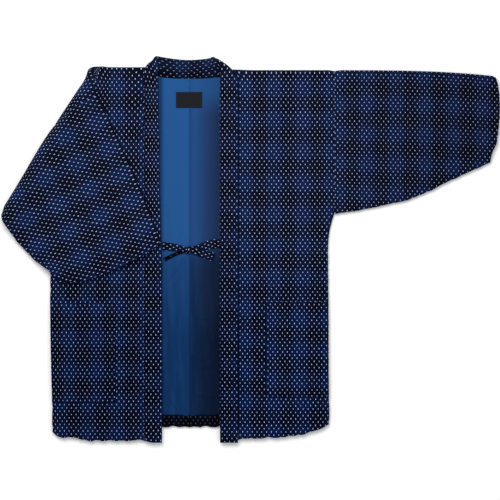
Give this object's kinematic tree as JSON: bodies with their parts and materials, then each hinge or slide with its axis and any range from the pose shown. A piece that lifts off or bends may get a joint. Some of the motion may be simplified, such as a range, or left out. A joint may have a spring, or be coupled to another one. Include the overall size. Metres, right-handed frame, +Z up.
{
  "type": "hanten",
  "caption": "Padded short jacket laid flat, one straight sleeve folded over the front, with a band collar, patch pockets and ties knotted across the open front.",
  "frame": {"origin": "middle of the outline's bounding box, on the surface that the jacket lies on", "axes": "+X towards the viewer's right along the sleeves, +Y from the hem towards the neck, +Z up from the surface"},
  "size_m": [1.0664, 0.8242, 0.0356],
  "materials": {
    "outer_cloth": "matte woven cotton, navy check with pale dashes",
    "lining": "matte plain blue cotton",
    "tie_cloth": "matte woven cotton, as the outer cloth",
    "label": "matte woven tape, plain black"
  },
  "bodies": {
    "root": {"body_left": "outer_cloth", "body_right": "outer_cloth", "sleeve_left": "outer_cloth", "sleeve_right": "outer_cloth", "collar": "outer_cloth", "pocket_left": "outer_cloth", "pocket_right": "outer_cloth", "hem_turnup_left": "outer_cloth", "hem_turnup_right": "outer_cloth", "lining_left": "lining", "lining_right": "lining", "tie_left": "tie_cloth", "tie_right": "tie_cloth", "label": "label"}
  },
  "joints": []
}
